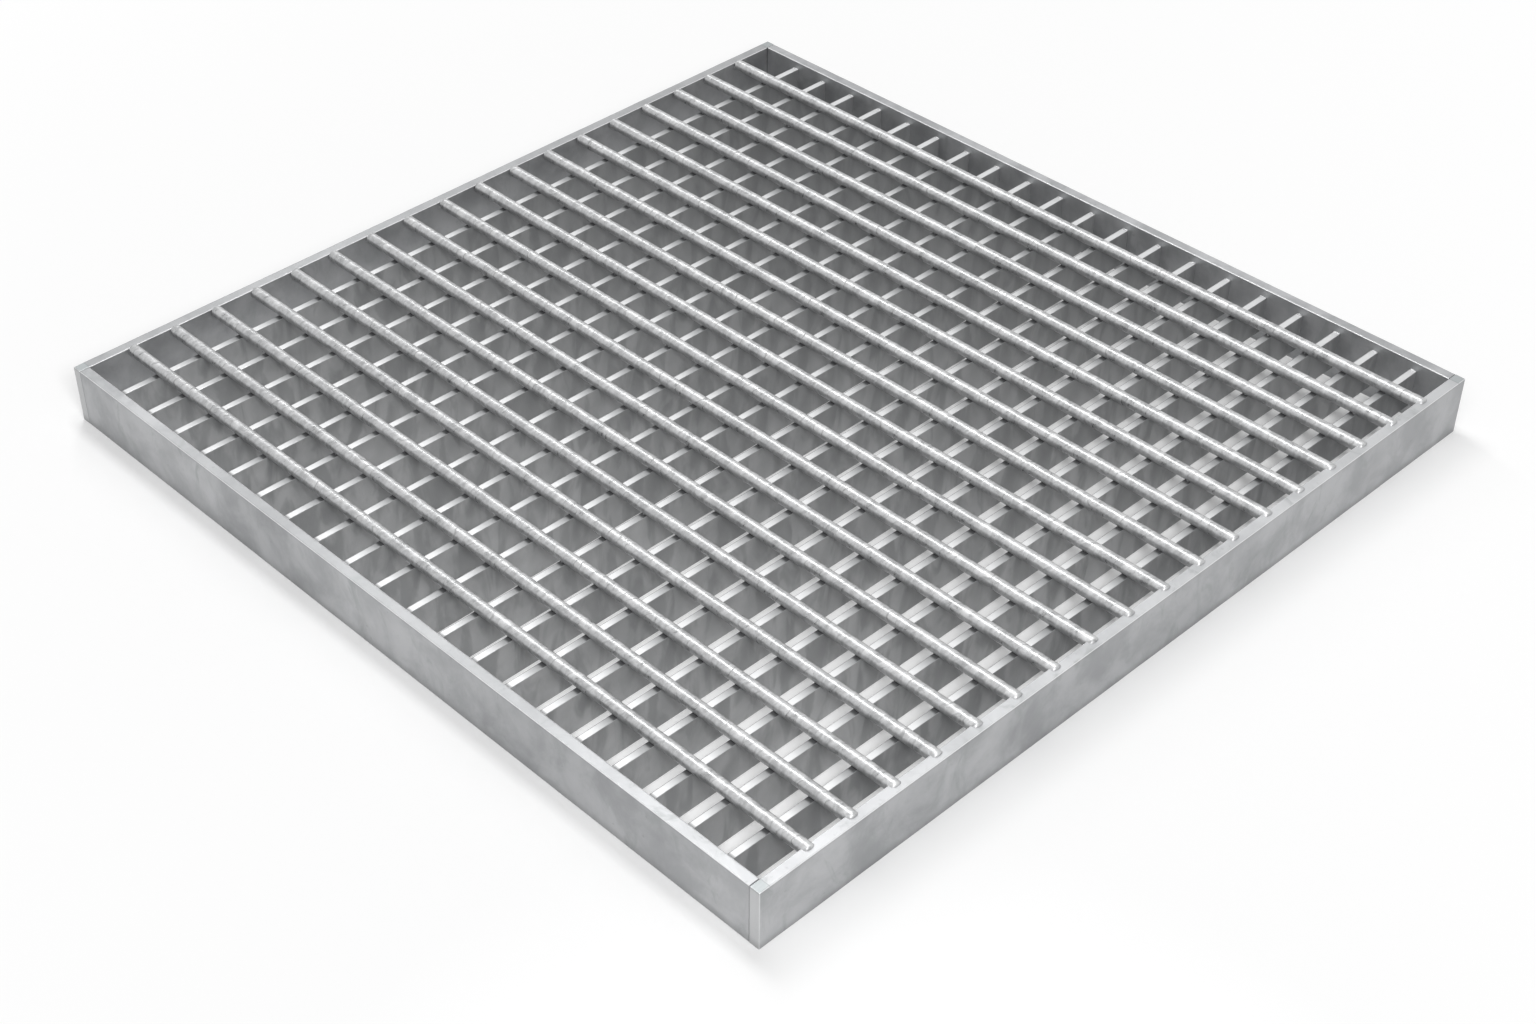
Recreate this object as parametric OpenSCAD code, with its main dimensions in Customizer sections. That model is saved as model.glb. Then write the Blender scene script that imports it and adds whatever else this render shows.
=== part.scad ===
// Welded steel grating panel: four flat banding bars on edge around a grid of
// bearing bars on edge, with round cross rods welded over the bearing bars.
// Bearing bars run along X, cross rods run along Y. The origin is the middle
// of the footprint, at the level of the banding's lower edges.

/* [Panel] */
// Overall length, along the bearing bars (X)
panel_x = 600; // [480:1:900]
// Overall width, along the cross rods (Y)
panel_y = 600; // [480:1:900]

/* [Banding bars] */
// Depth of the banding bars
band_h = 40; // [38:0.5:60]
// Thickness of the banding bars
band_t = 7; // [6:0.5:10]

/* [Bearing bars] */
// Number of bearing bars
bar_count = 20; // [10:1:24]
// Depth of a bearing bar
bar_h = 25; // [18:0.5:28]
// Thickness of a bearing bar
bar_t = 4.5; // [3:0.5:8]
// Front outer face to the middle of the first bearing bar
bar_front = 31; // [26:0.5:45]
// Back outer face to the middle of the last bearing bar
bar_back = 37; // [26:0.5:45]

/* [Cross rods] */
// Number of cross rods
rod_count = 18; // [8:1:22]
// Diameter of a cross rod, across its flats
rod_d = 8; // [6:0.5:9]
// Sides of a cross rod
rod_sides = 12; // [8, 12]
// Left or right outer face to the middle of the nearest cross rod
rod_side_gap = 38.2; // [24:0.2:48]
// Height of the cross rods' tops above the banding
rod_proud = 2; // [1:0.1:3]
// Length of a rod's front end that is seated in the front banding bar
rod_seat = 4; // [2:0.5:5]
// Depth that the cross rods are pressed into the bearing bars' tops
weld_sink = 0.25; // [0.2:0.05:0.6]

/* [Hidden] */

rod_z = band_h + rod_proud - rod_d / 2;
bar_top = rod_z - rod_d / 2 + weld_sink;
bar_len = panel_x - 2 * band_t;
bar_pitch = (panel_y - bar_front - bar_back) / (bar_count - 1);
rod_pitch = (panel_x - 2 * rod_side_gap) / (rod_count - 1);
rod_front = -panel_y / 2 + band_t - rod_seat;
rod_len = panel_y / 2 - band_t - rod_front;

// A flat bar on edge, centred in X and Y, standing on z = 0
module flat_bar(size_x, size_y, depth) {
    translate([-size_x / 2, -size_y / 2, 0]) cube([size_x, size_y, depth]);
}

// One cross rod at x, a prism with a flat at the top and the bottom
module cross_rod(x) {
    translate([x, rod_front, rod_z])
        rotate([-90, 0, 0])
            rotate([0, 0, 180 / rod_sides])
                cylinder(d = rod_d / cos(180 / rod_sides), h = rod_len, $fn = rod_sides);
}

// All cross rods, evenly spaced between the two side gaps
module cross_rods() {
    for (i = [0 : rod_count - 1])
        cross_rod(-panel_x / 2 + rod_side_gap + i * rod_pitch);
}

// All bearing bars, evenly spaced between the front and back distances
module bearing_bars() {
    for (j = [0 : bar_count - 1])
        translate([0, -panel_y / 2 + bar_front + j * bar_pitch, bar_top - bar_h])
            flat_bar(bar_len, bar_t, bar_h);
}

// Full-length bar along the front, with a seat for each rod's front end
module front_band() {
    color("silver")
        difference() {
            translate([0, -(panel_y - band_t) / 2, 0]) flat_bar(panel_x, band_t, band_h);
            cross_rods();
        }
}

// Full-length bar along the back, where the rods butt against its inner face
module back_band() {
    color("silver")
        translate([0, (panel_y - band_t) / 2, 0]) flat_bar(panel_x, band_t, band_h);
}

// Side bar at x, butted between the front and back bars
module side_band(x) {
    translate([x, 0, 0]) flat_bar(band_t, panel_y - 2 * band_t, band_h);
}

module left_band() {
    color("silver") side_band(-(panel_x - band_t) / 2);
}

module right_band() {
    color("silver") side_band((panel_x - band_t) / 2);
}

// Bearing bars and cross rods, welded into one grid where they cross
module bar_grid() {
    color("lightgray")
        union() {
            bearing_bars();
            cross_rods();
        }
}

front_band();
back_band();
left_band();
right_band();
bar_grid();
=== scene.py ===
# Welded steel grating panel: galvanised banding, bearing bars, cross rods and their welds.
# Bearing bars run along X, cross rods along Y, and the banding stands on z = 0.
import math

import bpy
import numpy as np
from mathutils import Matrix, Vector


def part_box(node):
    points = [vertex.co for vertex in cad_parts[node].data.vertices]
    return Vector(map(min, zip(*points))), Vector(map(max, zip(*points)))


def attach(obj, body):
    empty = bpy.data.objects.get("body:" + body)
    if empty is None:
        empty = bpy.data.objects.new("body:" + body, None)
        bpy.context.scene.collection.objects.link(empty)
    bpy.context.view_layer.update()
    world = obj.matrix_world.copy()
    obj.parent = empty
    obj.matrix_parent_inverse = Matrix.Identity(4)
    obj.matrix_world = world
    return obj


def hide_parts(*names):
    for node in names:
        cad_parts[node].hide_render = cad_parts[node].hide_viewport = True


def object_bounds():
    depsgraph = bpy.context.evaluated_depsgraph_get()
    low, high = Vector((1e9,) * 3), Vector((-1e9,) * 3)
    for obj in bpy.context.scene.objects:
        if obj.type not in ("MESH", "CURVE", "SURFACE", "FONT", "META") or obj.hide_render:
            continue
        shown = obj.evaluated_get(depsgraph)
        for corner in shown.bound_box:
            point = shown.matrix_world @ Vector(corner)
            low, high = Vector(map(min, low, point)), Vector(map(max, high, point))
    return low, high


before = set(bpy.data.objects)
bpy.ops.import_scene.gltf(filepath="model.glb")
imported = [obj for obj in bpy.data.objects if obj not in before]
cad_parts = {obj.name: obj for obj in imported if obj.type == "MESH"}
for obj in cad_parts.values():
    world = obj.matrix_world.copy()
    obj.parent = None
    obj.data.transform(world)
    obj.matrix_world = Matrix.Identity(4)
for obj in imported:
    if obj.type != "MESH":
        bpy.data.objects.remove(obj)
cadBox = [list(corner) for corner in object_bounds()]
panelLow, panelHigh = (np.array(corner) for corner in cadBox)
gridLow, gridHigh = (np.array(corner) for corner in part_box("bar_grid"))
print("frame loaded:", ", ".join(sorted(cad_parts)))

quarterTurn, fullTurn = math.pi / 2, 2 * math.pi
# shift keeps the boxes' numbers above 0, and the primes mix the three into one key
lattice = {"values": 8192, "shift": 1000, "primes": (73856093, 19349663, 83492791)}


def smoothNoise(points, size, seed):
    # random values from -1 to 1 on a lattice of boxes, blended across each box with 3t^2 - 2t^3
    values = np.random.default_rng(seed).uniform(-1, 1, lattice["values"])
    scaled = points / np.asarray(size) + lattice["shift"]
    cell = np.floor(scaled).astype(np.int64)
    part = scaled - cell
    part = part * part * (3 - 2 * part)
    total = np.zeros(points.shape[:-1])
    for corner in np.ndindex(2, 2, 2):
        keys = (cell + np.array(corner)) * np.array(lattice["primes"])
        key = keys[..., 0] ^ keys[..., 1] ^ keys[..., 2]
        weight = np.where(np.array(corner) == 1, part, 1 - part).prod(-1)
        total += weight * values[key % lattice["values"]]
    return total


def tubeFaces(copies, rings, sides):
    # quads between neighbouring rings, all round, and one many-sided face over each end
    copy, ring, side = np.meshgrid(np.arange(copies), np.arange(rings - 1), np.arange(sides), indexing="ij")
    first = (copy * rings + ring) * sides
    following = (side + 1) % sides
    quads = np.stack([first + side, first + following, first + sides + following, first + sides + side], -1)
    start = np.arange(copies)[:, None] * rings * sides
    lids = np.concatenate([start + np.arange(sides)[::-1], start + (rings - 1) * sides + np.arange(sides)])
    return quads.reshape(-1, 4).tolist() + lids.tolist()


def addObject(name, data):
    made = bpy.data.objects.new(name, data)
    bpy.context.scene.collection.objects.link(made)
    return made


def makePiece(name, points, finish, slotName, *nodes):
    # points is an array of copies x rings x sides x 3, a closed tube for each copy
    copies, rings, sides = points.shape[:3]
    mesh = bpy.data.meshes.new(name)
    mesh.from_pydata(points.reshape(-1, 3).tolist(), [], tubeFaces(copies, rings, sides))
    mesh.validate()
    mesh.shade_smooth()
    mesh.materials.append(finish)
    piece = addObject(name, mesh)
    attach(piece, "root")
    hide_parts(*nodes)
    print("made", name, "with", len(mesh.polygons), "faces")


class Wire:
    # one value on its way through a material: sums and products of it add Math nodes
    def __init__(self, tree, socket=None):
        self.tree, self.socket = tree, socket

    def node(self, kind, settings=None, inputs=None, output=0):
        # any node: its type, then its settings, then values or wires for its sockets
        made = self.tree.nodes.new("ShaderNode" + kind)
        for name, value in (settings or {}).items():
            setattr(made, name, value)
        for name, value in (inputs or {}).items():
            if isinstance(value, Wire):
                self.tree.links.new(value.socket, made.inputs[name])
            else:
                made.inputs[name].default_value = value
        return Wire(self.tree, made.outputs[output])

    def surface(self, kind):
        # this shader as the surface of a material or a world
        made = self.tree.nodes.new("ShaderNodeOutput" + kind)
        self.tree.links.new(self.socket, made.inputs["Surface"])

    def maths(self, operation, *values):
        return self.node("Math", {"operation": operation}, dict(enumerate(values)))

    def __add__(self, other):
        return self.maths("ADD", self, other)

    def __radd__(self, other):
        return self.maths("ADD", other, self)

    def __sub__(self, other):
        return self.maths("SUBTRACT", self, other)

    def __rsub__(self, other):
        return self.maths("SUBTRACT", other, self)

    def __mul__(self, other):
        return self.maths("MULTIPLY", self, other)

    def __rmul__(self, other):
        return self.maths("MULTIPLY", other, self)

    def __truediv__(self, other):
        return self.maths("DIVIDE", self, other)

    def __rtruediv__(self, other):
        return self.maths("DIVIDE", other, self)

    def absolute(self):
        return self.maths("ABSOLUTE", self)

    def fraction(self):
        return self.maths("FRACT", self)

    def rise(self, span, origin=0.0):
        # 0 below the span and 1 above it, with a smooth step between; the span counts from the origin
        low, high = span
        settings = {"interpolation_type": "SMOOTHSTEP"}
        return self.node("MapRange", settings, {0: self, 1: origin + low, 2: origin + high})

    def tint(self, first, second):
        # this value as the factor between two colours
        return self.node("Mix", {"data_type": "RGBA"}, {0: self, 6: first, 7: second}, 2)

    def split(self):
        return [self.node("SeparateXYZ", None, {0: self}, axis) for axis in range(3)]

    def stretch(self, factors):
        # a position with each axis multiplied by its own number
        return self.node("VectorMath", {"operation": "MULTIPLY"}, {0: self, 1: factors})

    def noise(self, scale, detail, roughness, distortion):
        return self.node("TexNoise", None, {"Vector": self, "Scale": scale, "Detail": detail,
                                            "Roughness": roughness, "Distortion": distortion})

    def patches(self, scale, detail, roughness, distortion, low, high):
        # noise turned into a mask, which starts at the noise value low and is full at high
        return self.noise(scale, detail, roughness, distortion).rise((low, high))


def emptyTree(owner):
    # the nodes of a material or a world, cleared
    owner.use_nodes = True
    owner.node_tree.nodes.clear()
    return Wire(owner.node_tree)


def newFinish(name):
    finish = bpy.data.materials.new(name)
    wire = emptyTree(finish)
    place = wire.node("TexCoord", output="Object")
    normal = wire.node("TexCoord", output="Normal")
    print("finish", name)
    return finish, wire, place, normal


def closeFinish(wire, look, colour, roughness, height):
    # the shader itself, with height turned into a bump
    bump = wire.node("Bump", None, {"Strength": 1.0, "Distance": look["bumpDepth"], "Height": height})
    shader = wire.node("BsdfPrincipled", None, {"Base Color": colour, "Metallic": look["metallic"],
                                                "Roughness": roughness, "Normal": bump})
    shader.surface("Material")


arrisSpan = (0.02, 0.16)  # of 1 less the largest part of the normal


def arrisMask(wire, normal):
    # 1 where the surface faces neither straight along X, Y nor Z: the rounded edges
    parts = wire.node("VectorMath", {"operation": "ABSOLUTE"}, {0: normal})
    x, y, z = parts.split()
    most = wire.maths("MAXIMUM", wire.maths("MAXIMUM", x, y), z)
    return (1 - most).rise(arrisSpan)


# where the row of cross rods stands along X and the row of bearing bars along Y
rodRow = {"first": -0.2618, "pitch": 0.0308}
barRow = {"first": -0.269, "pitch": 0.028}


def alongPitch(value, row):
    # the distance from the nearest of a row's members, from minus to plus half its pitch
    return (((value - row["first"]) / row["pitch"] + 0.5).fraction() - 0.5) * row["pitch"]


banding = {
    # name, node, axis along the bar and noise seed
    "bars": (("front_banding", "front_band", "x", 13), ("back_banding", "back_band", "x", 12),
             ("left_banding", "left_band", "y", 12), ("right_banding", "right_band", "y", 13)),
    "thickness": 0.007, "arris": 0.0006, "arrisWander": 0.00012, "arcSteps": 3, "support": 0.0005,
    "endBevel": 0.00025, "ringStep": 0.0035,
}

# In each look, mix holds shares of colour, rough shares of roughness and high shares of height. A
# noise is its scale, detail, roughness and distortion, then where its mask starts and is full. A
# span is where a mask starts and is full, in metres unless its note says otherwise.
bandingLook = {
    "depth": 0.040, "metallic": 0.75, "bumpDepth": 0.0002,
    "crystalScale": 150.0, "smudgeStretch": (1, 1, 0.55),
    "colours": {
        "light": (0.50, 0.505, 0.515, 1), "dark": (0.315, 0.32, 0.33, 1), "cloud": (0.315, 0.33, 0.33, 1),
        "edge": (0.78, 0.78, 0.79, 1), "crystal": (0.50, 0.51, 0.51, 1), "speck": (0.24, 0.245, 0.25, 1),
        "corner": (0.37, 0.40, 0.405, 1), "seam": (0.09, 0.095, 0.10, 1), "cutEnd": (0.56, 0.565, 0.57, 1),
        "footShade": (0.22, 0.225, 0.23, 1), "backBarShade": (0.30, 0.305, 0.31, 1),
        "frontTopSheen": (0.72, 0.73, 0.74, 1), "leftTopShade": (0.29, 0.295, 0.30, 1),
    },
    "mix": {
        "middle": 0.65, "broad": 0.35, "backBarShade": 0.62, "frontTopSheen": 0.30, "nearEnd": 0.28,
        "leftMiddle": 0.55, "leftFar": 0.40, "cloud": 0.65, "crystal": 0.16, "speck": 0.35, "corner": 0.65,
        "cutEnd": 0.7, "underArris": 0.35, "footShade": 0.45, "edge": 0.8, "seam": 0.60, "faintSeam": 0.30,
    },
    "rough": {"base": 0.46, "middle": 0.06, "crystal": 0.04, "broad": 0.04},
    "high": {"fine": 0.25, "middle": 0.6, "crystal": 0.15, "seam": 0.8},
    "noises": {
        "broad": (9.0, 3.0, 0.55, 0.0, 0.36, 0.64), "middle": (34.0, 5.0, 0.62, 0.3, 0.34, 0.66),
        "smudge": (62.0, 4.0, 0.6, 1.2, 0.52, 0.74), "speck": (260.0, 2.0, 0.5, 0.0, 0.68, 0.80),
        "fine": (900.0, 3.0, 0.6, 0.0),
    },
    "spans": {
        "top": (-0.0007, -0.0003), "corner": (-0.0004, 0.0), "cutEnd": (-0.0006, -0.0003),
        "butt": (-0.0002, 0.0002), "seam": (0.0001, 0.0004), "seamEnd": (-0.0006, 0.0),
        "underArris": (-0.0014, -0.0009), "arris": (-0.0008, -0.0004), "footShade": (0.0003, 0.0065),
        "pastFace": (0.0, 0.0003), "beforeFace": (-0.0003, 0.0),
        "nearEnd": (-0.24, -0.06), "leftMiddle": (-0.25, -0.02), "leftFar": (0.10, 0.28),
    },
}


def makeBandingFinish():
    finish, wire, place, normal = newFinish("galvanised_banding_finish")
    look, thickness, depth = bandingLook, banding["thickness"], bandingLook["depth"]
    colours, mix, rough, high = look["colours"], look["mix"], look["rough"], look["high"]
    noises, spans = look["noises"], look["spans"]
    x, y, z = place.split()
    fromX = x.absolute() - (panelHigh[0] - thickness)  # past the side bars' inner faces
    fromY = y.absolute() - (panelHigh[1] - thickness)  # past the end bars' inner faces
    onTop = z.rise(spans["top"], depth)
    onBack = y.rise(spans["pastFace"], panelHigh[1] - thickness)
    onFrontTop = (1 - y.rise(spans["beforeFace"], panelLow[1] + thickness)) * onTop
    onLeftTop = (1 - x.rise(spans["beforeFace"], panelLow[0] + thickness)) * onTop
    # the corner squares, the front and back bars' cut ends, and their joints with the side bars
    corner = fromX.rise(spans["corner"]) * fromY.rise(spans["corner"]) * onTop
    cutEnd = fromX.rise(spans["cutEnd"], thickness) * fromY.rise(spans["butt"]) * (1 - onTop)
    seam = (1 - fromY.absolute().rise(spans["seam"])) * fromX.rise(spans["seamEnd"])
    faintSeam = (1 - fromX.absolute().rise(spans["seam"])) * fromY.rise(spans["butt"]) * onTop
    underArris = z.rise(spans["underArris"], depth) - z.rise(spans["arris"], depth)
    footShade = 1 - z.rise(spans["footShade"])
    broad = place.patches(*noises["broad"])
    middle = place.patches(*noises["middle"])
    smudge = place.stretch(look["smudgeStretch"]).patches(*noises["smudge"])
    speck = place.patches(*noises["speck"])
    fine = place.noise(*noises["fine"])
    crystal = wire.node("TexVoronoi", {"feature": "SMOOTH_F1"},
                        {"Vector": place, "Scale": look["crystalScale"]}, 1)
    crystalTone = wire.node("SeparateColor", None, {0: crystal})
    colour = (middle * mix["middle"] + broad * mix["broad"]).tint(colours["dark"], colours["light"])
    # painted shade: the back bar darker all over
    colour = (onBack * mix["backBarShade"]).tint(colour, colours["backBarShade"])
    # painted highlight: the front bar's top and the left bar's -Y end are lighter; painted shade: the left
    # bar's top is darker midway along
    nearLeftSheen = onLeftTop * (1 - onFrontTop) * (1 - y.rise(spans["nearEnd"]))
    midLeftShade = y.rise(spans["leftMiddle"]) * mix["leftMiddle"] - y.rise(spans["leftFar"]) * mix["leftFar"]
    colour = (onFrontTop * mix["frontTopSheen"] + nearLeftSheen * mix["nearEnd"]).tint(colour, colours["frontTopSheen"])
    colour = (onLeftTop * midLeftShade).tint(colour, colours["leftTopShade"])
    colour = (smudge * mix["cloud"]).tint(colour, colours["cloud"])
    colour = (crystalTone * mix["crystal"]).tint(colour, colours["crystal"])
    colour = (speck * mix["speck"]).tint(colour, colours["speck"])
    colour = (corner * mix["corner"]).tint(colour, colours["corner"])
    colour = (cutEnd * mix["cutEnd"]).tint(colour, colours["cutEnd"])
    # a thin darker line just under the top arris, and painted shade darkening the foot of each face
    colour = (underArris * mix["underArris"] + footShade * mix["footShade"]).tint(colour, colours["footShade"])
    # wear and painted highlight: the rounded edges lighter
    colour = (arrisMask(wire, normal) * mix["edge"]).tint(colour, colours["edge"])
    colour = (seam * mix["seam"] + faintSeam * mix["faintSeam"]).tint(colour, colours["seam"])
    roughness = (rough["base"] + middle * rough["middle"] + crystalTone * rough["crystal"]
                 - broad * rough["broad"])
    height = (fine * high["fine"] + middle * high["middle"] + crystalTone * high["crystal"]
              - seam * high["seam"])
    closeFinish(wire, look, colour, roughness, height)
    return finish


# trackGap sets apart the lines through the noise that different seeds follow
barShape = {"bevelRings": 3, "smallestRadius": 0.00005, "wanderLength": 0.012, "trackGap": 0.37}


def roundedOutline(width, depth, radius, inset, settings):
    # a rectangle of width x depth drawn in by inset, whose corners are quarter circles of the
    # radius less the inset, with one more point past each arc to keep the flats flat
    support = settings["support"]
    corner = np.maximum(radius - inset, barShape["smallestRadius"])[..., None]
    turn = np.linspace(0, quarterTurn, settings["arcSteps"] + 1)
    parts = []
    for quarter, (sideX, sideY) in enumerate([(1, 1), (-1, 1), (-1, -1), (1, -1)]):
        start = quarter * quarterTurn
        angle = turn + start
        centreX = sideX * (width / 2 - inset[..., None] - corner)
        centreY = sideY * (depth / 2 - inset[..., None] - corner)
        x, y = centreX + corner * np.cos(angle), centreY + corner * np.sin(angle)
        before = np.array([math.sin(start), -math.cos(start)]) * support
        after = np.array([-math.cos(start), -math.sin(start)]) * support
        x = np.concatenate([x[..., :1] + before[0], x, x[..., -1:] + after[0]], -1)
        y = np.concatenate([y[..., :1] + before[1], y, y[..., -1:] + after[1]], -1)
        parts.append(np.stack([x, y], -1))
    return np.concatenate(parts, -2)


def barSurface(start, end, axis, width, depth, middle, settings, seed):
    # the rounded outline carried along one axis from start to end; its corner radius wanders along
    # the bar, and the first and last rings draw in over a small round bevel
    bevel, support = settings["endBevel"], settings["support"]
    turn = np.linspace(0, quarterTurn, barShape["bevelRings"])
    tipPlace = np.concatenate([[0], bevel * (1 - np.cos(turn)), [bevel + support]])
    tipInset = np.concatenate([[bevel + support], bevel * (1 - np.sin(turn)), [0]])
    count = int((end - start) / settings["ringStep"])
    body = np.linspace(start + bevel + 2 * support, end - bevel - 2 * support, count)
    along = np.concatenate([start + tipPlace, body, (end - tipPlace)[::-1]])
    inset = np.concatenate([tipInset, np.zeros(count), tipInset[::-1]])
    track = np.stack([along, np.full_like(along, seed * barShape["trackGap"]), np.zeros_like(along)], -1)
    radius = settings["arris"] + settings["arrisWander"] * smoothNoise(track, barShape["wanderLength"], seed)
    outline = roundedOutline(width, depth, radius, inset, settings)
    along = np.broadcast_to(along[:, None], outline.shape[:2])
    if axis == "x":  # width lies along Y
        return np.stack([along, middle[1] + outline[..., 0], middle[2] + outline[..., 1]], -1)
    return np.stack([middle[0] - outline[..., 0], along, middle[2] + outline[..., 1]], -1)


def makeBanding(finish):
    for name, node, axis, seed in banding["bars"]:
        low, high = (np.array(corner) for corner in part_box(node))
        middle, height = (low + high) / 2, high[2] - low[2]
        start, end = (low[0], high[0]) if axis == "x" else (low[1], high[1])
        points = barSurface(start, end, axis, banding["thickness"], height, middle, banding, seed)
        makePiece(name, points[None], finish, "galvanised_banding", node)


makeBanding(makeBandingFinish())


bearingBars = {
    "count": 20, "thickness": 0.0045, "depth": 0.025, "frontGap": 0.031, "backGap": 0.037,
    "arris": 0.0003, "arrisWander": 0.0001, "arcSteps": 2, "support": 0.0004, "endBevel": 0.0002,
    "ringStep": 0.006, "firstSeed": 40,
}
barBottom = gridLow[2]
barTop = barBottom + bearingBars["depth"]
firstBar, lastBar = panelLow[1] + bearingBars["frontGap"], panelHigh[1] - bearingBars["backGap"]
barPlaces = np.linspace(firstBar, lastBar, bearingBars["count"])

barLook = {
    "top": 0.03425, "metallic": 0.3, "bumpDepth": 0.0002,
    "smudgeStretch": (1, 1, 0.35), "farShadeSlope": (1.3, 0.7),
    "colours": {
        "light": (0.55, 0.555, 0.56, 1), "dark": (0.40, 0.405, 0.41, 1), "topLight": (0.78, 0.785, 0.79, 1),
        "edge": (0.84, 0.84, 0.84, 1), "shade": (0.26, 0.265, 0.27, 1), "contactShadow": (0.05, 0.052, 0.055, 1),
        "line": (0.16, 0.165, 0.17, 1), "farShade": (0.28, 0.285, 0.29, 1),
    },
    "mix": {
        "broad": 0.5, "middle": 0.5, "farShade": 0.55, "topLight": 0.85, "smudge": 0.56, "rodShadowSmudge": 0.45,
        "rodShadow": 0.35, "edge": 0.3, "shade": 0.9, "line": 0.6, "contactShadow": 0.7,
    },
    "rough": {"base": 0.42, "middle": 0.1},
    "high": {"fine": 0.25, "middle": 0.6},
    "noises": {
        "broad": (14.0, 3.0, 0.5, 0.0, 0.35, 0.68), "middle": (55.0, 4.0, 0.55, 0.0, 0.35, 0.68),
        "smudge": (80.0, 3.0, 0.5, 0.6, 0.43, 0.62), "fine": (900.0, 3.0, 0.6, 0.0),
    },
    "spans": {
        "upward": (0.6, 0.95),  # of the normal's Z
        "farShade": (-0.35, 0.55),  # of the sum of X and Y, each times its farShadeSlope
        "pastRods": (0.2640, 0.2700), "shade": (0.0045, 0.0225), "contactShadow": (0.0040, 0.0062),
        "contactBehind": (-0.0055, -0.0035), "underRod": (0.0008, 0.0092), "underTop": (-0.025, -0.008),
        "line": (-0.0007, -0.0004),
    },
}


def makeBarFinish():
    finish, wire, place, normal = newFinish("galvanised_bar_finish")
    look = barLook
    colours, mix, rough, high = look["colours"], look["mix"], look["rough"], look["high"]
    noises, spans = look["noises"], look["spans"]
    x, y, z = place.split()
    onTop = normal.split()[2].rise(spans["upward"])
    onSide = 1 - onTop
    # painted shade at each crossing: a long fade up to the rod on one side and a short one past it, darkest
    # in a painted contact shadow at the rod
    toNext = (1 - ((x - rodRow["first"]) / rodRow["pitch"]).fraction()) * rodRow["pitch"]
    crossed = 1 - x.rise(spans["pastRods"])
    shade = (1 - toNext.rise(spans["shade"])) * crossed
    behind = toNext.rise(spans["contactBehind"], rodRow["pitch"])
    contactShadow = (1 - toNext.rise(spans["contactShadow"]) + behind) * crossed
    # painted shadow: the sides are darker below each rod; painted shade: a dark line runs along the top's +Y
    # edge
    underRod = 1 - alongPitch(x, rodRow).absolute().rise(spans["underRod"])
    rodShadow = underRod * z.rise(spans["underTop"], look["top"])
    backEdgeShade = alongPitch(y, barRow).rise(spans["line"], bearingBars["thickness"] / 2)
    # painted shade: the bars darker towards +X and +Y
    slopeX, slopeY = look["farShadeSlope"]
    farShade = (x * slopeX + y * slopeY).rise(spans["farShade"])
    broad = place.patches(*noises["broad"])
    middle = place.patches(*noises["middle"])
    smudge = place.stretch(look["smudgeStretch"]).patches(*noises["smudge"])
    fine = place.noise(*noises["fine"])
    colour = (broad * mix["broad"] + middle * mix["middle"]).tint(colours["dark"], colours["light"])
    colour = (farShade * mix["farShade"]).tint(colour, colours["farShade"])
    # painted light: the upward faces lighter than the sides
    colour = (onTop * mix["topLight"]).tint(colour, colours["topLight"])
    # painted shade: random darker smudges on the sides
    colour = (smudge * mix["smudge"] * onSide).tint(colour, colours["shade"])
    # painted shadow below each rod
    colour = (rodShadow * (smudge * mix["rodShadowSmudge"] + mix["rodShadow"]) * onSide).tint(colour, colours["shade"])
    # wear and painted highlight: the rounded edges lighter
    colour = (arrisMask(wire, normal) * mix["edge"]).tint(colour, colours["edge"])
    colour = (shade * onTop * mix["shade"]).tint(colour, colours["shade"])
    # painted shade along the top's +Y edge
    colour = (backEdgeShade * onTop * mix["line"]).tint(colour, colours["line"])
    colour = (contactShadow * onTop * mix["contactShadow"]).tint(colour, colours["contactShadow"])
    roughness = rough["base"] + middle * rough["middle"]
    height = fine * high["fine"] + middle * high["middle"]
    closeFinish(wire, look, colour, roughness, height)
    return finish


def makeBearingBars(finish):
    bars = [barSurface(gridLow[0], gridHigh[0], "x", bearingBars["thickness"], bearingBars["depth"],
                       (0, place, (barBottom + barTop) / 2), bearingBars, bearingBars["firstSeed"] + number)
            for number, place in enumerate(barPlaces)]
    makePiece("bearing_bars", np.stack(bars), finish, "galvanised_grid", "bar_grid")


makeBearingBars(makeBarFinish())


crossRods = {
    "count": 18, "diameter": 0.008, "sideGap": 0.0382, "sides": 24, "ringStep": 0.0018,
    "dome": 0.0022, "domeFullness": 0.72, "domeRings": 7, "domeStart": 0.08,
    "lump": 0.00005, "lumpSize": (0.004, 0.009, 0.004),
    "ripple": 0.00003, "rippleSize": (0.002, 0.0035, 0.002),
    "wander": 0.00005, "wanderSize": (0.01, 0.06, 1), "leftSeed": 71, "rightSeed": 81,
}
rodRadius = crossRods["diameter"] / 2
rodHeight = gridHigh[2] - rodRadius
firstRod, lastRod = panelLow[0] + crossRods["sideGap"], panelHigh[0] - crossRods["sideGap"]
rodPlaces = np.linspace(firstRod, lastRod, crossRods["count"])

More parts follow.
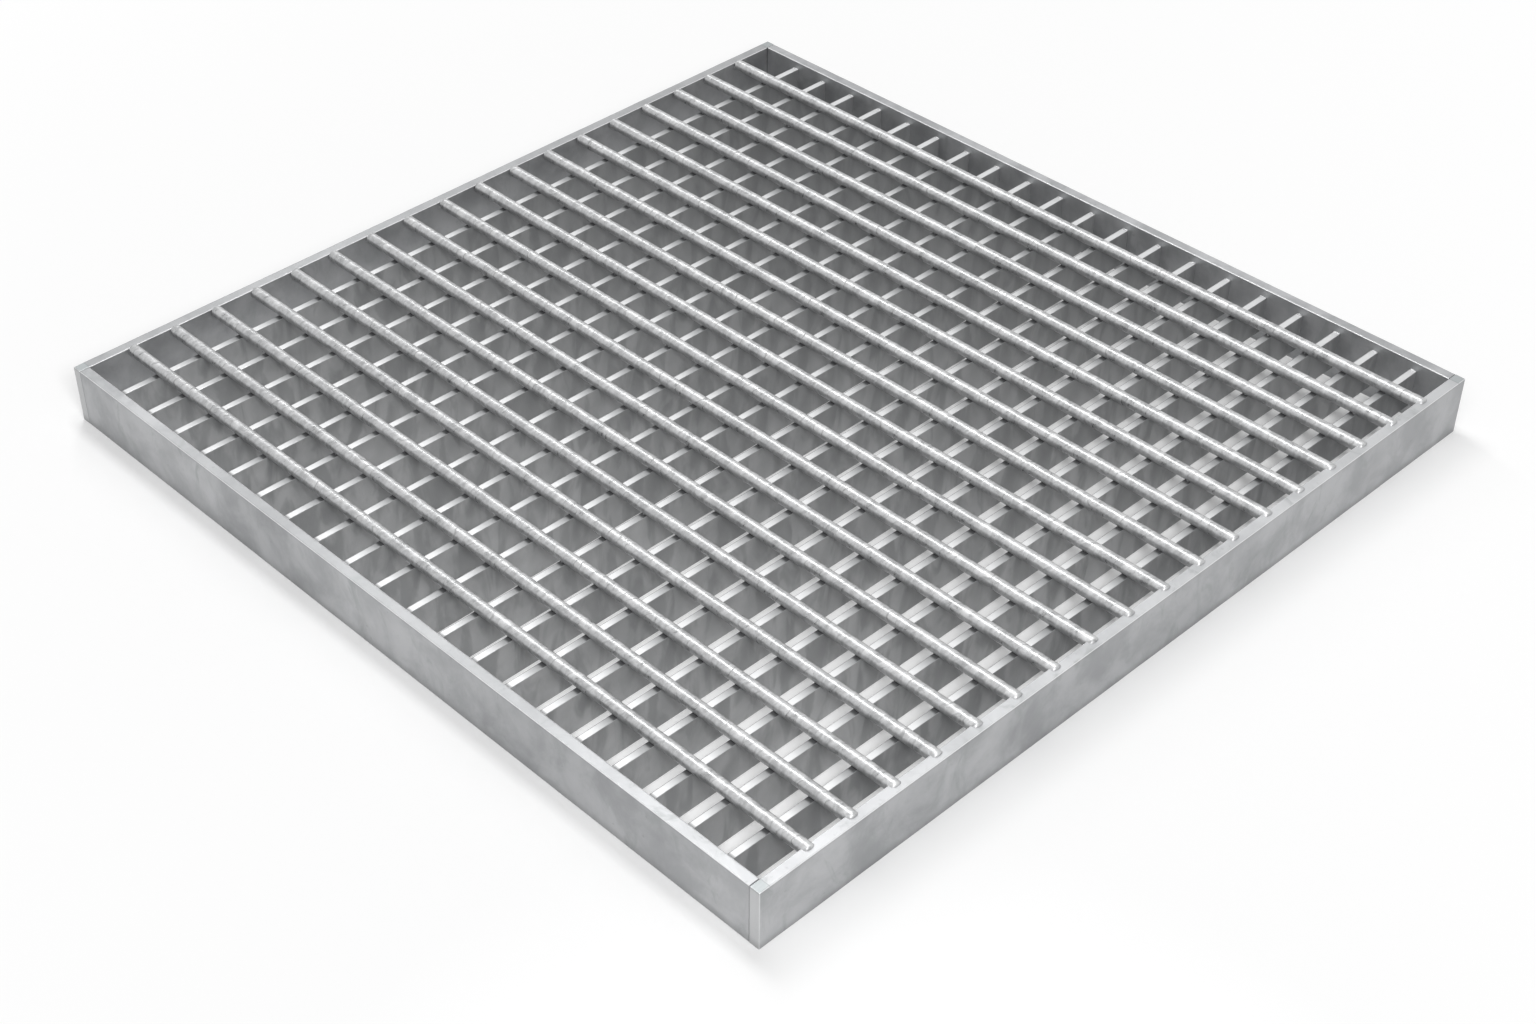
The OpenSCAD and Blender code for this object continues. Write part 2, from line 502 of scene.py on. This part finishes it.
rodLook = {
    "metallic": 0.65, "bumpDepth": 0.00017,
    "runLength": 0.0075, "slant": 0.36, "jitter": 3.0, "squeeze": 0.65,
    "colours": {
        "light": (0.61, 0.615, 0.62, 1), "dark": (0.35, 0.355, 0.36, 1), "flake": (0.72, 0.72, 0.72, 1),
        "pit": (0.20, 0.205, 0.21, 1), "flankShade": (0.22, 0.225, 0.23, 1),
    },
    "mix": {"blotch": 0.7, "run": 0.3, "flake": 0.30, "seam": 0.50, "speck": 0.48, "flankShade": 0.38},
    "rough": {"base": 0.26, "blotch": 0.18, "run": 0.05},
    "high": {"blotch": 0.30, "step": 0.8, "flankShade": 0.8, "fine": 0.06},
    "noises": {
        "jitter": (55.0, 2.0, 0.5, 0.0), "patch": (75.0, 2.0, 0.5, 0.0, 0.46, 0.68),
        "blotch": (330.0, 4.0, 0.6, 0.7, 0.33, 0.69), "speck": (620.0, 2.0, 0.5, 0.0, 0.66, 0.76),
        "fine": (1100.0, 3.0, 0.6, 0.0),
    },
    "spans": {
        "flankShade": (-0.35, 0.55),  # of the normal's Z, and the rest in parts of a run
        "stepUp": (0.0, 0.85), "stepDown": (0.87, 1.0), "seamUp": (0.84, 0.90), "seamDown": (0.95, 1.0),
    },
}


def makeRodFinish():
    finish, wire, place, normal = newFinish("galvanised_rod_finish")
    look = rodLook
    colours, mix, rough, high = look["colours"], look["mix"], look["rough"], look["high"]
    noises, spans = look["noises"], look["spans"]
    x, y, z = place.split()
    slantY = y + alongPitch(x, rodRow) * look["slant"]
    # the zinc set in short runs that overlap slantwise: a slow rise along each, then a quick fall
    run = slantY / look["runLength"] + place.noise(*noises["jitter"]) * look["jitter"]
    saw = run.fraction()
    step = saw.rise(spans["stepUp"]) - saw.rise(spans["stepDown"])
    seam = saw.rise(spans["seamUp"]) - saw.rise(spans["seamDown"])
    runTone = wire.node("TexWhiteNoise", {"noise_dimensions": "1D"}, {"W": wire.maths("FLOOR", run)})
    patch = place.patches(*noises["patch"])
    slanted = wire.node("CombineXYZ", None, {0: x * look["squeeze"], 1: slantY, 2: z * look["squeeze"]})
    blotch = slanted.patches(*noises["blotch"])
    fine = place.noise(*noises["fine"])
    speck = place.patches(*noises["speck"])
    # painted shade: each rod's downward flank darker
    flankShade = 1 - normal.split()[2].rise(spans["flankShade"])
    colour = (blotch * mix["blotch"] + runTone * mix["run"]).tint(colours["dark"], colours["light"])
    colour = (patch * mix["flake"]).tint(colour, colours["flake"])
    colour = (seam * patch * (1 - flankShade) * mix["seam"]).tint(colour, colours["pit"])
    colour = (speck * (1 - flankShade) * mix["speck"]).tint(colour, colours["pit"])
    colour = (flankShade * mix["flankShade"]).tint(colour, colours["flankShade"])
    roughness = rough["base"] + blotch * rough["blotch"] + runTone * rough["run"]
    relief = (blotch * high["blotch"] + step * patch * high["step"]) * (1 - flankShade * high["flankShade"])
    closeFinish(wire, look, colour, roughness, relief + fine * high["fine"])
    return finish


def makeCrossRods(name, places, finish, seed):
    # a circle carried along Y; over each end its place is dome (1 - cos(t)^fullness) and its radius
    # is sin(t)^fullness, and the zinc on it is two sizes of smooth noise, inside the true radius
    dome, settings = crossRods["dome"], crossRods
    turn = np.linspace(settings["domeStart"], quarterTurn, settings["domeRings"])
    start, end = gridLow[1], gridHigh[1]
    tip = dome * (1 - np.cos(turn) ** settings["domeFullness"])
    body = np.linspace(start + dome, end - dome, int((end - start) / settings["ringStep"]))[1:-1]
    along = np.concatenate([start + tip, body, (end - tip)[::-1]])
    reachAtTip = np.sin(turn) ** settings["domeFullness"]
    scale = np.concatenate([reachAtTip, np.ones(len(body)), reachAtTip[::-1]])
    around = np.linspace(0, fullTurn, settings["sides"], endpoint=False)
    placeX, y, angle = np.meshgrid(places, along, around, indexing="ij")
    skin = np.stack([placeX + rodRadius * np.cos(angle), y, rodRadius * np.sin(angle)], -1)
    relief = settings["lump"] * (smoothNoise(skin, settings["lumpSize"], seed) - 1) / 2
    relief += settings["ripple"] * (smoothNoise(skin, settings["rippleSize"], seed + 1) - 1) / 2
    reach = (rodRadius + relief) * scale[None, :, None]
    line = np.stack([placeX, y, 0 * y], -1)
    sway = settings["wander"] * smoothNoise(line, settings["wanderSize"], seed + 2)
    points = np.stack([placeX + sway + reach * np.cos(angle), y, rodHeight + reach * np.sin(angle)], -1)
    makePiece(name, points[:, :, ::-1], finish, "galvanised_grid", "bar_grid")


rodFinish = makeRodFinish()
half = crossRods["count"] // 2
makeCrossRods("cross_rods_left", rodPlaces[:half], rodFinish, crossRods["leftSeed"])
makeCrossRods("cross_rods_right", rodPlaces[half:], rodFinish, crossRods["rightSeed"])


welds = {
    "sides": 10, "rings": 7, "tip": 0.12, "spread": (0.8, 1.15), "lump": 0.25, "lumpSize": 0.0016,
    "jitterSeed": 5, "jitterX": 0.0005, "jitterY": 0.0008,
    "crossing": {"size": (0.0019, 0.0013, 0.0007), "seed": 11, "lift": 0.0001},
    "barEnd": {"size": (0.0010, 0.0024, 0.0009), "seed": 12, "lift": -0.0002, "inset": 0.0004},
    "rodEnd": {"size": (0.0034, 0.0012, 0.0026), "seed": 13, "lift": -0.0016, "inset": 0.0006},
}


def placesAt(x, y, z):
    # one row of three for each place, with a single number repeated beside the others
    return np.stack(np.broadcast_arrays(x, y, z), -1)


def beads(centres, settings):
    # a ball stretched to size at each centre: rings of sin(v) round the X axis at -cos(v) along it,
    # and each point's distance from its centre made uneven by smooth noise
    v = np.linspace(welds["tip"], math.pi - welds["tip"], welds["rings"])[None, :, None]
    u = np.linspace(0, fullTurn, welds["sides"], endpoint=False)[None, None, :]
    ball = placesAt(-np.cos(v), np.sin(v) * np.cos(u), np.sin(v) * np.sin(u))
    random = np.random.default_rng(settings["seed"])
    stretch = np.asarray(settings["size"]) * random.uniform(*welds["spread"], (len(centres), 3))
    centres = centres[:, None, None]
    points = centres + ball * stretch[:, None, None]
    lumps = welds["lump"] * smoothNoise(points, welds["lumpSize"], settings["seed"])
    return points + (points - centres) * lumps[..., None]


def makeWelds(finish):
    atCrossing, atBarEnd, atRodEnd = welds["crossing"], welds["barEnd"], welds["rodEnd"]
    random = np.random.default_rng(welds["jitterSeed"])
    x, y = (grid.ravel() for grid in np.meshgrid(rodPlaces, barPlaces, indexing="ij"))
    x = x + random.uniform(-welds["jitterX"], welds["jitterX"], x.size)
    y = y + random.uniform(-welds["jitterY"], welds["jitterY"], y.size)
    crossings = placesAt(x, y, barTop + atCrossing["lift"])
    sides = (gridLow[0] + atBarEnd["inset"], gridHigh[0] - atBarEnd["inset"])
    barEnds = np.concatenate([placesAt(side, barPlaces, barTop + atBarEnd["lift"]) for side in sides])
    rodEnds = placesAt(rodPlaces, gridHigh[1] - atRodEnd["inset"], rodHeight + atRodEnd["lift"])
    groups = ((crossings, atCrossing), (barEnds, atBarEnd), (rodEnds, atRodEnd))
    points = np.concatenate([beads(centres, settings) for centres, settings in groups])
    makePiece("welds", points, finish, "galvanised_grid", "bar_grid")


makeWelds(rodFinish)


white = (1, 1, 1, 1)
studio = {
    "floorSize": 12.0, "floorColour": 0.84, "whiteLevel": 1.015, "worldLight": 0.36,
    "cellGlow": 0.057, "cellFade": 0.56, "cellEdge": (-0.002, 0.0),
    "lamps": {
        "overhead_softbox": {
            "place": (0.13, 0.42, 1.90), "aim": (0.13, 0, 0), "size": (0.36, 1.4), "power": 12.2},
        "back_strip": {
            "place": (0.42, 0.96, 1.40), "aim": (0, 0, 0), "size": (0.09, 1.4), "power": 4.0},
        "side_softbox": {
            "place": (-0.66, -0.90, 0.95), "aim": (0, 0, 0), "size": (0.28, 0.28), "power": 5.1},
        "front_softbox": {
            "place": (-0.62, -0.66, 0.95), "aim": (0, 0, 0), "size": (0.5, 0.5), "power": 3.6},
    },
}


def lampOnFloor(x, y, settings):
    # what a lamp adds to the matt floor at x, y: colour x power x lamp height x the lamp's own
    # slant to that spot, over pi squared and the distance to the fourth power
    lampX, lampY, lampZ = settings["place"]
    axis = (Vector(settings["aim"]) - Vector(settings["place"])).normalized()
    awayX, awayY = x - lampX, y - lampY
    squared = awayX * awayX + awayY * awayY + lampZ ** 2
    slant = awayX * axis.x + awayY * axis.y - lampZ * axis.z
    return slant * (studio["floorColour"] * settings["power"] * lampZ / math.pi ** 2) / (squared * squared)


def seenRays(wire):
    # 1 for what the camera sees straight, in gloss or through glass, 0 for plain lighting
    camera, glossy, glass = (wire.node("LightPath", output=name) for name in
                             ("Is Camera Ray", "Is Glossy Ray", "Is Transmission Ray"))
    return wire.maths("MAXIMUM", wire.maths("MAXIMUM", camera, glossy), glass)


def makeFloor():
    reach, grey = studio["floorSize"] / 2, studio["floorColour"]
    mesh = bpy.data.meshes.new("floor")
    corners = [(-reach, -reach, 0), (reach, -reach, 0), (reach, reach, 0), (-reach, reach, 0)]
    mesh.from_pydata(corners, [], [(0, 1, 2, 3)])
    finish = bpy.data.materials.new("floor_finish")
    wire = emptyTree(finish)
    x, y = wire.node("TexCoord", output="Object").split()[:2]
    # the floor glows by just what the lamps and the world leave short of plain white
    lit = sum(lampOnFloor(x, y, settings) for settings in studio["lamps"].values())
    lit = lit + grey * studio["worldLight"]
    # painted light and shade: seen through the cells it glows more towards -X and less towards +X
    insideX = 1 - x.absolute().rise(studio["cellEdge"], gridHigh[0])
    insideY = 1 - y.absolute().rise(studio["cellEdge"], gridHigh[1])
    cellLightAndShade = insideX * insideY * (studio["cellGlow"] - x * studio["cellFade"])
    glow = wire.maths("MAXIMUM", studio["whiteLevel"] - lit + cellLightAndShade, 0.0)
    matt = wire.node("BsdfDiffuse", None, {"Color": (grey, grey, grey, 1)})
    glowing = wire.node("Emission", None, {"Color": white, "Strength": seenRays(wire) * glow})
    wire.node("AddShader", None, {0: matt, 1: glowing}).surface("Material")
    mesh.materials.append(finish)
    floor = addObject("floor", mesh)


def makeWorld():
    world = bpy.data.worlds.new("studio_world")
    bpy.context.scene.world = world
    wire = emptyTree(world)
    strength = studio["worldLight"] + seenRays(wire) * (1 - studio["worldLight"])
    wire.node("Background", None, {"Color": white, "Strength": strength}).surface("World")


def makeLamp(name, settings):
    lamp = bpy.data.lights.new(name, "AREA")
    lamp.shape = "RECTANGLE"
    lamp.size, lamp.size_y = settings["size"]
    lamp.energy = settings["power"]
    holder = addObject(name, lamp)
    holder.location = settings["place"]
    direction = Vector(settings["aim"]) - Vector(settings["place"])
    holder.rotation_euler = direction.to_track_quat("-Z", "Y").to_euler()


viewpoint = {
    "lens": 57.63, "sensor": 36, "azimuth": -43.11, "elevation": 38.25, "roll": -0.61, "distance": 1.444,
    "target": (-0.089, -0.035, 0.02), "shift": (0.0454, -0.0163), "clip": (0.05, 60),
}


def makeCamera():
    # back points from the target to the camera; right and up are turned about it by the roll
    azimuth, elevation, roll = (math.radians(viewpoint[name]) for name in ("azimuth", "elevation", "roll"))
    right = Vector((math.cos(azimuth), math.sin(azimuth), 0))
    back = Vector((math.sin(azimuth) * math.cos(elevation), -math.cos(azimuth) * math.cos(elevation),
                   math.sin(elevation)))
    up = back.cross(right)
    turnedRight = right * math.cos(roll) + up * math.sin(roll)
    turnedUp = up * math.cos(roll) - right * math.sin(roll)
    lens = bpy.data.cameras.new("camera")
    lens.sensor_width, lens.lens = viewpoint["sensor"], viewpoint["lens"]
    lens.shift_x, lens.shift_y = viewpoint["shift"]
    lens.clip_start, lens.clip_end = viewpoint["clip"]
    camera = addObject("camera", lens)
    turn = Matrix((turnedRight, turnedUp, back)).transposed().to_4x4()
    place = Vector(viewpoint["target"]) + back * viewpoint["distance"]
    camera.matrix_world = Matrix.Translation(place) @ turn
    bpy.context.scene.camera = camera


makeFloor()
makeWorld()
for lampName, lampSettings in studio["lamps"].items():
    makeLamp(lampName, lampSettings)
makeCamera()
bpy.context.scene.view_settings.view_transform = "Standard"
print("studio made")
